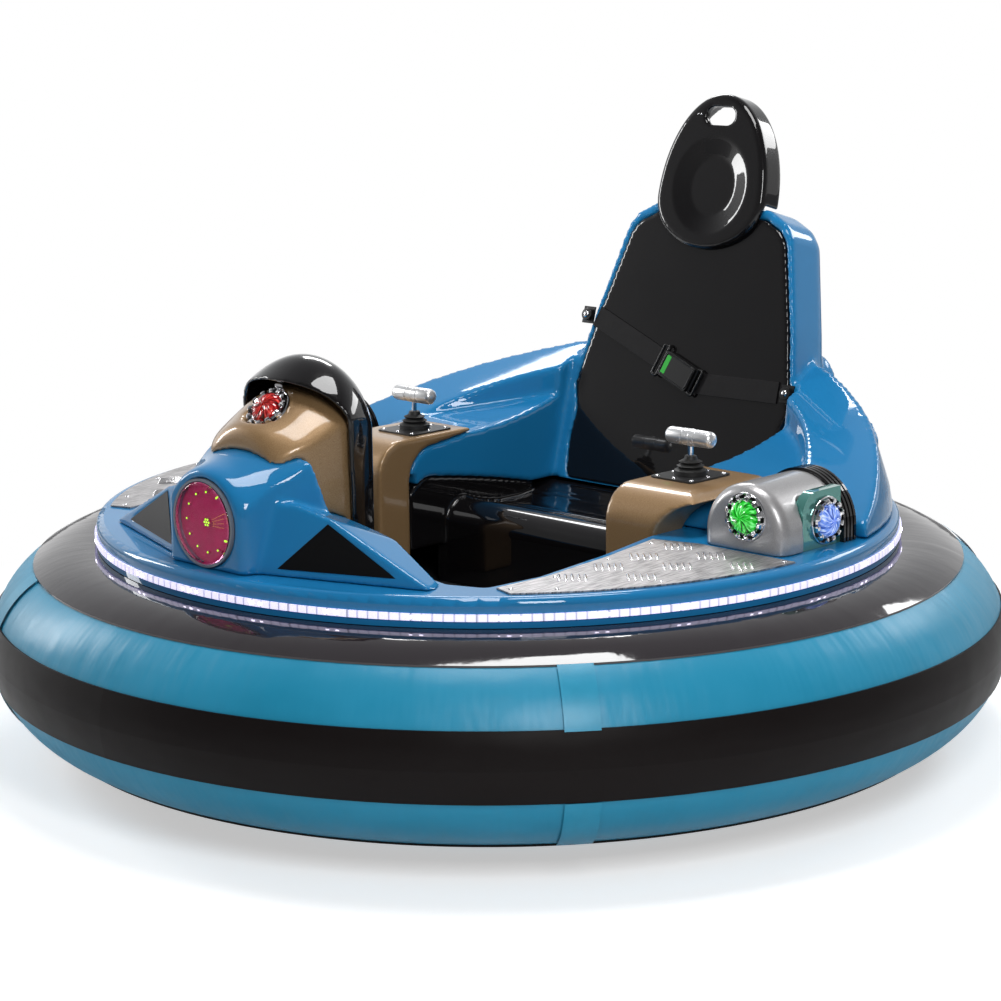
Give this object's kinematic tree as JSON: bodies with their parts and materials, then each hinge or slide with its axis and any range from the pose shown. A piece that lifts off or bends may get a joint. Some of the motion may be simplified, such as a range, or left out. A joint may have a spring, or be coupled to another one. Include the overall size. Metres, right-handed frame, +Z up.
{
  "type": "bumper car",
  "caption": "Round fairground bumper car on an inflated ring, with a lamp nose, bucket seat, joystick consoles, drive wheels and casters.",
  "frame": {"origin": "on the ground under the middle of the inflated ring", "axes": "+X towards the nose lamp, +Y to the driver's left, +Z up"},
  "size_m": [1.9564, 1.9564, 1.205],
  "materials": {
    "battery_case": "matt",
    "zinc_steel": "zinc",
    "buckle_plastic": "satin",
    "button_green": "satin",
    "webbing": "woven",
    "black_pvc": "satin",
    "grey_pvc": "gloss",
    "teal_pvc": "satin",
    "wheel_rubber": "matt",
    "black_steel": "satin",
    "floor_plate": "satin",
    "bronze_paint": "metallic",
    "blue_gelcoat": "gloss",
    "hub_aluminium": "cast",
    "tyre": "matt",
    "black_gelcoat": "gloss",
    "red_lens": "clear",
    "blue_lens": "clear",
    "green_lens": "clear",
    "chrome": "polished",
    "black_rubber": "matt",
    "lamp_board": "gloss",
    "pink_lens": "clear",
    "lamp_ring": "gloss",
    "black_panel": "satin",
    "silver_paint": "metallic",
    "green_mirror": "gloss",
    "strip_light": "lit",
    "tread_aluminium": "polished"
  },
  "bodies": {
    "car_body": {"battery_block": "battery_case", "belt_anchors": "zinc_steel", "belt_buckle": "buckle_plastic", "belt_button": "button_green", "belt_webbing": "webbing", "bumper_band": "black_pvc", "bumper_base_panel": "black_pvc", "bumper_top_panel": "grey_pvc", "bumper_tube": "teal_pvc", "caster_plates": "zinc_steel", "chassis_frame": "black_steel", "cockpit_floor": "floor_plate", "console_left": "bronze_paint", "console_right": "bronze_paint", "deck": "blue_gelcoat", "drive_motors": "black_steel", "headrest": "black_gelcoat", "jewel_lens_red": "red_lens", "jewel_lenses_blue": "blue_lens", "jewel_lenses_green": "green_lens", "jewel_rings": "chrome", "joystick_boots": "black_rubber", "joystick_grips": "chrome", "joystick_plates": "black_steel", "joystick_stems": "chrome", "nose_cowl": "blue_gelcoat", "nose_hood": "bronze_paint", "nose_lamp_board": "lamp_board", "nose_lamp_lens": "pink_lens", "nose_lamp_ring": "lamp_ring", "nose_panels": "black_panel", "nose_visor": "black_gelcoat", "pod_cowls": "black_gelcoat", "pod_left": "silver_paint", "pod_right": "silver_paint", "pod_windows": "green_mirror", "rear_shell": "blue_gelcoat", "rim_light_strip": "strip_light", "seat_back": "black_gelcoat", "seat_pan": "black_gelcoat", "tail_lamp_boards": "lamp_board", "tail_lamp_lenses": "pink_lens", "tail_lamp_rings": "lamp_ring", "tread_plates": "tread_aluminium", "tub": "black_gelcoat"},
    "drive_wheel_left": {"drive_hub_left": "hub_aluminium", "drive_tyre_left": "tyre"},
    "drive_wheel_right": {"drive_hub_right": "hub_aluminium", "drive_tyre_right": "tyre"},
    "caster_front": {"caster_fork_front": "zinc_steel"},
    "caster_front_wheel": {"caster_wheel_front": "wheel_rubber"},
    "caster_rear": {"caster_fork_rear": "zinc_steel"},
    "caster_rear_wheel": {"caster_wheel_rear": "wheel_rubber"}
  },
  "joints": [
    {"name": "drive_left_spin", "type": "hinge", "parent": "car_body", "child": "drive_wheel_left", "pos_m": [0, 0.3, 0.1], "axis": [0, 1, 0], "continuous": true},
    {"name": "drive_right_spin", "type": "hinge", "parent": "car_body", "child": "drive_wheel_right", "pos_m": [0, -0.3, 0.1], "axis": [0, 1, 0], "continuous": true},
    {"name": "caster_front_swivel", "type": "hinge", "parent": "car_body", "child": "caster_front", "pos_m": [0.43, 0, 0.14], "axis": [0, 0, 1], "continuous": true},
    {"name": "caster_front_spin", "type": "hinge", "parent": "caster_front", "child": "caster_front_wheel", "pos_m": [0.388, 0, 0.0625], "axis": [0, 1, 0], "continuous": true},
    {"name": "caster_rear_swivel", "type": "hinge", "parent": "car_body", "child": "caster_rear", "pos_m": [-0.43, 0, 0.14], "axis": [0, 0, 1], "continuous": true},
    {"name": "caster_rear_spin", "type": "hinge", "parent": "caster_rear", "child": "caster_rear_wheel", "pos_m": [-0.472, 0, 0.0625], "axis": [0, 1, 0], "continuous": true}
  ]
}
